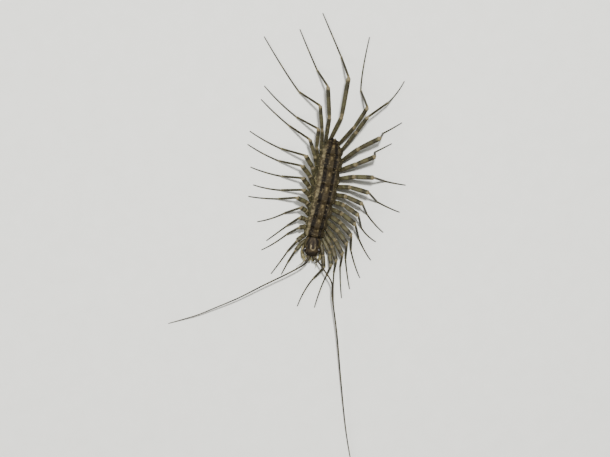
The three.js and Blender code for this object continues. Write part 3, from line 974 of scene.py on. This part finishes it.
# %% Joints of a leg
def joints_of(root, headings, reaches, heights):
    """Walks from a root over headings and reaches, and sets each joint's height."""
    joints = [root]
    for heading, reach, height in zip(headings, reaches, heights):
        turn = math.radians(heading)
        x = joints[-1].x + reach * math.cos(turn)
        y = joints[-1].y + reach * math.sin(turn)
        joints.append(Vector((x, y, height)))
    return joints


def leg_joints(pair, side):
    """The joints of a leg, from its root on the trunk to the tip of its foot."""
    headings, reaches = (LEFT_POSES if side > 0 else RIGHT_POSES)[pair - 1]
    low, high = LEFT_KNEES if side > 0 else RIGHT_KNEES
    place = (pair - 1) / (PAIRS - 1)
    knee = lerp(low, high, place**KNEE_RISE)
    along = root_along(pair)
    flank = body_point(along, side, 0) - body_point(along, 0, 0)
    slant = abs(math.sin(math.radians(headings[0]) - math.atan2(flank.y, flank.x)))
    beside = trunk_half_width(along) + ROOT_GAP + ROOT_GIRTH * slant
    height = lerp(FIRST_ROOT_HEIGHT, LAST_ROOT_HEIGHT, place)
    height -= LAST_PAIR_DROP if pair == PAIRS else 0
    root = body_point(along, side * beside, height)
    heel = RAISED_HEEL if side > 0 and pair == RAISED_PAIR else HEEL_HEIGHT
    hip = lerp(height, knee, HIP_SHARE)
    return joints_of(root, headings, reaches, [hip, knee, heel, TARSUS_HALF, TARSUS_TIP_HALF])


def foot_points(heel, middle, tip):
    """The foot's line: an even curve in plan that sinks from the heel to the floor."""
    points = []
    for i in range(7):
        t = i / 6
        point = heel * (1 - t) ** 2 + middle * 2 * t * (1 - t) + tip * t * t
        point.z = lerp(heel.z, TARSUS_TIP_HALF, smoothstep(t, 0, 0.3))
        points.append(point)
    return points


print("joints of the first left leg:", leg_joints(1, 1))


# %% Spurs of a leg
def leg_spurs(bm, start, end, half, segment, seed, rng):
    """Spurs round the far end of a segment, and thorns in four rows along it."""
    ahead = (end - start).normalized()
    across, up = facing(ahead)
    length = (end - start).length
    spurs = []
    for row in range(4):
        spurs.append((SPUR_SHARE, 45 + 90 * row, rng.uniform(*SPUR_LENGTHS), SPUR_THICKNESS))
    for row in range(4):
        count = int(length / THORN_SPACING)
        for i in range(count):
            share = (i + 0.5 + 0.25 * row) / (count + 1)
            degrees = 45 + 90 * row + rng.uniform(-9, 9)
            spurs.append((share, degrees, rng.uniform(*THORN_LENGTHS), THORN_THICKNESS))
    for share, degrees, reach, thick in spurs:
        angle = math.radians(degrees + KEEL_ROLL)
        out = across * math.cos(angle) + up * math.sin(angle)
        place = start.lerp(end, share) + out * half * 0.84
        direction = (ahead * 1.5 + out).normalized()
        scale = 1 if segment < 2 else TIBIA_SPUR_SCALE
        if place.z + direction.z * reach > SPUR_CEILING:
            continue
        marks = {"marks": (segment + 0.8, 0, seed)}
        spike(bm, place, direction, reach * scale, thick * scale, marks)


print("spur rows ready")


# %% Legs
def raised_root(stations, outline, rise):
    """Lets the first segment leave the trunk level before it climbs."""
    lifted = []
    for (place, width, height, mark), (share, _) in zip(stations, outline):
        climb = rise * (max(share, 0) ** ROOT_RISE - share)
        lifted.append((place + Vector((0, 0, climb)), width, height, mark))
    return lifted


def walking_leg(pair, side, name):
    rng = random.Random(100 * pair + side)
    seed = rng.uniform(0, 0.2) + (DARK_REAR_LEGS if pair >= PAIRS - 2 else 0)
    joints = leg_joints(pair, side)
    along = root_along(pair)
    bm = bmesh.new()
    bm.verts.layers.float_vector.new("marks")
    lift = FIRST_HIP_LIFT if pair == 1 else HIP_LIFT
    slim = (CROWDED_LEFT_LEGS if side > 0 else CROWDED_RIGHT_LEGS).get(pair, 1)
    socket = body_point(along, side * trunk_half_width(along) * HIP_BESIDE, joints[0].z + lift)
    coxa = segment_stations(socket, joints[0], COXA, COXA_HALF * slim, COXA_FLATNESS, -1)
    loft(bm, coxa, COXA_SIDES, seed=seed)
    roll = side * math.radians(KEEL_ROLL)
    for i, (outline, full, flat) in enumerate(SEGMENTS):
        half = full * slim if i < 2 else full
        start, end = joints[i], joints[i + 1]
        stations = segment_stations(start, end, outline, half, flat, i, bow=SEGMENT_BOW)
        if i == 0:
            stations = raised_root(stations, outline, end.z - start.z)
        loft(bm, stations, SEGMENT_SIDES, roll=roll, keels=KEEL_RISE, seed=seed)
        leg_spurs(bm, start, end, half, i, seed, rng)
    foot = SmoothLine(foot_points(*joints[3:]))
    halves = (TARSUS_HALF, TARSUS_TIP_HALF)
    ringed_limb(bm, foot, halves, FOOT_ARTICLE, (3, 5), seed, floor=True)
    node = f"leg_{name}_{pair:02d}"
    return finish_piece(f"walking_{node}", bm, banded_legs, "leg", node, subdivisions=1)


for pair in range(1, PAIRS + 1):
    for side, name in SIDES:
        walking_leg(pair, side, name)
print("legs made:", 2 * PAIRS)

# %% [markdown]
# ## Feelers, palps and claws
# Two feelers, longer than the body, run out over the floor. They are whips of hundreds
# of tiny rings on a thicker base. The palps are short and thin, and the claws are stout
# and curve in below the head, with the two halves of the lip between them.


# %% Feelers
# Headings in degrees, reaches seen from above, and heights of the points along each.
LEFT_FEELER = (
    [-43, -55, -59, -87, -83, -85, -84, -80],
    [1.1, 2.4, 3.1, 3.0, 8.2, 10.5, 12.0, 11.9],
    [3.3, 3.7, 3.6, 3.3, 2.6, 1.7, 0.8, 0.1],
)
RIGHT_FEELER = (
    [-122, -138, -151, -154, -153, -157, -158, -163, -164],
    [1.3, 1.0, 3.0, 6.8, 5.7, 5.5, 4.4, 3.4, 3.4],
    [3.3, 3.5, 3.6, 3.2, 2.6, 1.9, 1.2, 0.6, 0.1],
)
FEELER_HALVES = (0.19, 0.08)
# How much thicker a feeler is at its root, and over what length that fades.
FEELER_BASE = (0.12, 3)
FEELER_ARTICLE = 0.2
HAIR_LENGTH = 0.16
HAIR_THICKNESS = 0.012


def feeler_hairs(bm, line, rng):
    """Three short hairs on every second article past the base."""
    rings = int(line.length / FEELER_ARTICLE / 2)
    for i in range(4, rings):
        place, ahead = line.at(i * FEELER_ARTICLE * 2)
        half = lerp(*FEELER_HALVES, (i / rings) ** TAPER)
        place.z = max(place.z, half)
        across, up = facing(ahead)
        for turn in range(3):
            angle = math.radians(30 + 60 * turn + rng.uniform(-25, 25))
            out = across * math.cos(angle) + up * math.sin(angle)
            direction = (out + ahead * 0.8).normalized()
            root = place + out * half * 0.8
            spike(bm, root, direction, HAIR_LENGTH, HAIR_THICKNESS, {"marks": (i, 0, 0)})


def feeler(side, name, course):
    rng = random.Random(7 + side)
    root = body_point(-0.35, side * 0.62, HEAD_MIDDLE_HEIGHT - 0.05)
    inside = body_point(0.3, side * 0.55, HEAD_MIDDLE_HEIGHT - 0.1)
    line = SmoothLine([inside, *joints_of(root, *course)])
    bm = bmesh.new()
    marks = (0, line.length)
    ringed_limb(bm, line, FEELER_HALVES, FEELER_ARTICLE, marks, 0, floor=True, base=FEELER_BASE)
    feeler_hairs(bm, line, rng)
    return finish_piece(f"feeler_{name}", bm, ringed_feelers, "feeler", f"antenna_{name}")


feeler(1, "left", LEFT_FEELER)
feeler(-1, "right", RIGHT_FEELER)
print("feelers made")


# %% Claws, palps and lip
CLAW_HALVES = [
    0.34, 0.42, 0.38, 0.44, 0.47, 0.45, 0.36, 0.44, 0.46, 0.43, 0.35,
    0.41, 0.39, 0.34, 0.27, 0.2, 0.12, 0.04,
]
CLAW_FLATNESS = 0.9
CLAW_SIDES = 16
PALP_HALVES = (0.17, 0.04)
PALP_ARTICLE = 0.4
PALP_HEIGHTS = [2.2, 1.9, 1.5]
LOBE_HALVES = [0.22, 0.32, 0.36, 0.37, 0.38, 0.38, 0.36, 0.27, 0.12]
LOBE_FLATNESS = 0.7
LOBE_SIDES = 14
LOBE_BRISTLES = 24
LOBE_BRISTLE_LENGTH = 0.26
# The finish darkens past this mark, so claws end dark but palps and lip don't.
PALE_END_MARK = 0.8


def poison_claw(side, name):
    line = SmoothLine([
        body_point(NECK_START + 0.2, side * 0.7, 1.4),
        body_point(2.0, side * 1.75, 1.15),
        body_point(0.6, side * 2.05, 1.05),
        body_point(-0.7, side * 1.6, 1.0),
        body_point(-1.4, side * 0.8, 1.0),
    ])
    bm = bmesh.new()
    swollen_limb(bm, line, CLAW_HALVES, CLAW_FLATNESS, 1, CLAW_SIDES)
    node = f"forcipule_{name}"
    return finish_piece(f"poison_claw_{name}", bm, tan_mouthparts, "mouth", node, subdivisions=1)


def palp(side, name, headings, reaches):
    root = body_point(0.35, side * 0.95, HEAD_MIDDLE_HEIGHT - HEAD_HALF_HEIGHT - 0.35)
    inside = body_point(0.9, side * 0.8, HEAD_MIDDLE_HEIGHT - HEAD_HALF_HEIGHT + 0.1)
    line = SmoothLine([inside, *joints_of(root, headings, reaches, PALP_HEIGHTS)])
    bm = bmesh.new()
    ringed_limb(bm, line, PALP_HALVES, PALP_ARTICLE, (0, PALE_END_MARK), 0)
    return finish_piece(f"mouth_palp_{name}", bm, tan_mouthparts, "mouth", f"palp_{name}")


def mouth_lobe(side, name):
    """One half of the lip, a soft lobe with bristles that lies between the claws."""
    line = SmoothLine([
        body_point(1.2, side * 0.4, 2.05),
        body_point(0.3, side * 0.4, 1.85),
        body_point(-0.5, side * 0.4, 1.8),
        body_point(-1.25, side * 0.32, 1.7),
    ])
    bm = bmesh.new()
    swollen_limb(bm, line, LOBE_HALVES, LOBE_FLATNESS, PALE_END_MARK, LOBE_SIDES)
    rng = random.Random(40 + side)
    for _ in range(LOBE_BRISTLES):
        place, ahead = line.at(line.length * rng.uniform(0.45, 0.95))
        across, up = facing(ahead)
        out = across * rng.uniform(-0.7, 0.7) + up
        aim = (ahead + out * 0.7).normalized()
        root = place + out.normalized() * 0.3
        spike(bm, root, aim, LOBE_BRISTLE_LENGTH, BRISTLE_THICKNESS, {"marks": (0.95, 0, 0)})
    return finish_piece(f"mouth_lobe_{name}", bm, tan_mouthparts, "mouth", subdivisions=1)


for side, name in SIDES:
    mouth_lobe(side, name)
for side, name in SIDES:
    poison_claw(side, name)
palp(1, "left", [-80, -95, -105], [1.0, 1.0, 1.0])
palp(-1, "right", [-118, -125, -145], [1.0, 1.2, 1.6])
print("claws and palps made")

# %% [markdown]
# ## Floor, light and camera
# A plain pale floor takes the shadows of the raised legs. One small soft light stands
# high beyond the tail, and a wide one on the animal's right fills the shadows.
# The camera looks straight down from far enough that the legs keep their outline.


# %% Floor
FLOOR_HALF = 3000


def pale_floor():
    f = Finish("pale_floor")
    grain = f.noise(0.25, 4, 0.6)
    tone = f.mix(paint("dcdcd4"), paint("e6e6df"), grain)
    return f.dress(tone, 0.75, grain, 0.02)


bm = bmesh.new()
bmesh.ops.create_grid(bm, x_segments=1, y_segments=1, size=FLOOR_HALF * MM)
floor_mesh = bpy.data.meshes.new("floor")
bm.to_mesh(floor_mesh)
bm.free()
floor = bpy.data.objects.new("floor", floor_mesh)
floor_mesh.materials.append(pale_floor())
bpy.context.scene.collection.objects.link(floor)
print("floor laid")

# %% Light and camera
PHOTO_SCALE = 0.22
PHOTO_SIZE = (610, 457)
PHOTO_ORIGIN = (287.2, 249.0)
CAMERA_HEIGHT = 700
SENSOR = 36.0
LIGHTS_AIM = (5, 5, 0)
KEY_PLACE = (50, 125, 500)
KEY_SIZE = 45
KEY_POWER = 5.0
FILL_PLACE = (-420, -40, 330)
FILL_SIZE = 420
FILL_POWER = 2.0
ROOM_COLOUR = (1.0, 0.98, 0.95, 1)
ROOM_STRENGTH = 0.28


def photo_point(x, y):
    """The place on the floor that a pixel of the photograph shows."""
    place = Vector(((x - PHOTO_ORIGIN[0]) * PHOTO_SCALE, (PHOTO_ORIGIN[1] - y) * PHOTO_SCALE, 0))
    return place - OUTLINE_MIDDLE


def add_light(name, place, aim, size, power):
    data = bpy.data.lights.new(name, "AREA")
    data.size, data.energy = size * MM, power
    lamp = bpy.data.objects.new(name, data)
    lamp.location = Vector(place) * MM
    lamp.rotation_euler = (Vector(aim) - Vector(place)).to_track_quat("-Z", "Y").to_euler()
    bpy.context.scene.collection.objects.link(lamp)


centre = photo_point(PHOTO_SIZE[0] / 2, PHOTO_SIZE[1] / 2)
add_light("key", KEY_PLACE, LIGHTS_AIM, KEY_SIZE, KEY_POWER)
add_light("fill", FILL_PLACE, LIGHTS_AIM, FILL_SIZE, FILL_POWER)

world = bpy.data.worlds.new("soft_room")
world.use_nodes = True
background = world.node_tree.nodes["Background"]
background.inputs["Color"].default_value = ROOM_COLOUR
background.inputs["Strength"].default_value = ROOM_STRENGTH
bpy.context.scene.world = world

camera_data = bpy.data.cameras.new("camera")
camera_data.sensor_width = SENSOR
camera_data.lens = SENSOR * CAMERA_HEIGHT / (PHOTO_SIZE[0] * PHOTO_SCALE)
camera_data.clip_start, camera_data.clip_end = 0.01, 10
camera = bpy.data.objects.new("camera", camera_data)
camera.location = Vector((centre.x, centre.y, CAMERA_HEIGHT)) * MM
bpy.context.scene.collection.objects.link(camera)
bpy.context.scene.camera = camera
print("camera over", tuple(round(v, 1) for v in centre))
